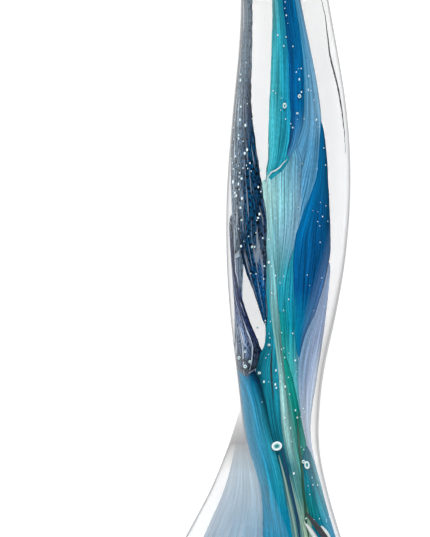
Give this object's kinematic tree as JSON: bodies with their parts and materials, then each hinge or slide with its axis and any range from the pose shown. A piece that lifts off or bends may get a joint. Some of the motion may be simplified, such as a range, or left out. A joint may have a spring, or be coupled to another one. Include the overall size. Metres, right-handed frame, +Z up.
{
  "type": "glass dip pen",
  "caption": "Solid glass dip pen: a twisted flat clear handle with blue and teal colour strips sealed inside, a ribbed glass nib, a collar bead and a tail drop.",
  "frame": {"origin": "centre of the pen's footprint on the table it lies on, at table height", "axes": "+X along the pen towards the writing point, +Z up, the crowned face of the handle's first lobe up"},
  "size_m": [0.1718, 0.018, 0.0152],
  "materials": {
    "clear_glass": "clear, fire-polished",
    "teal_glass": "streaky",
    "cobalt_glass": "streaky",
    "steel_blue_glass": "streaky",
    "aqua_glass": "streaky",
    "navy_glass": "streaky with dark specks",
    "slate_glass": "streaky",
    "lilac_glass": "streaky, fading",
    "emerald_glass": "streaky",
    "lime_glass": "thin pale thread",
    "turquoise_glass": "streaky",
    "cyan_glass": "streaky",
    "pearl_glass": "pale, faintly streaky",
    "nib_glass": "clear, faint aqua"
  },
  "bodies": {
    "root": {"aqua_strip": "aqua_glass", "cobalt_strip": "cobalt_glass", "collar_bead": "clear_glass", "cyan_strip": "cyan_glass", "deep_teal_strip": "turquoise_glass", "emerald_strip": "emerald_glass", "grip_neck": "clear_glass", "handle_casing": "clear_glass", "indigo_strip": "navy_glass", "lilac_strip": "lilac_glass", "lime_thread": "lime_glass", "navy_strip": "navy_glass", "nib_core": "nib_glass", "nib_point": "nib_glass", "nib_rib_1": "nib_glass", "nib_rib_2": "nib_glass", "nib_rib_3": "nib_glass", "nib_rib_4": "nib_glass", "nib_rib_5": "nib_glass", "nib_rib_6": "nib_glass", "nib_rib_7": "nib_glass", "nib_rib_8": "nib_glass", "pearl_veil": "pearl_glass", "slate_strip": "slate_glass", "steel_blue_strip": "steel_blue_glass", "tail_blue_strip": "cobalt_glass", "tail_drop": "clear_glass", "teal_green_strip": "emerald_glass", "teal_strip": "teal_glass", "turquoise_strip": "turquoise_glass", "ultramarine_strip": "cobalt_glass"}
  },
  "joints": []
}
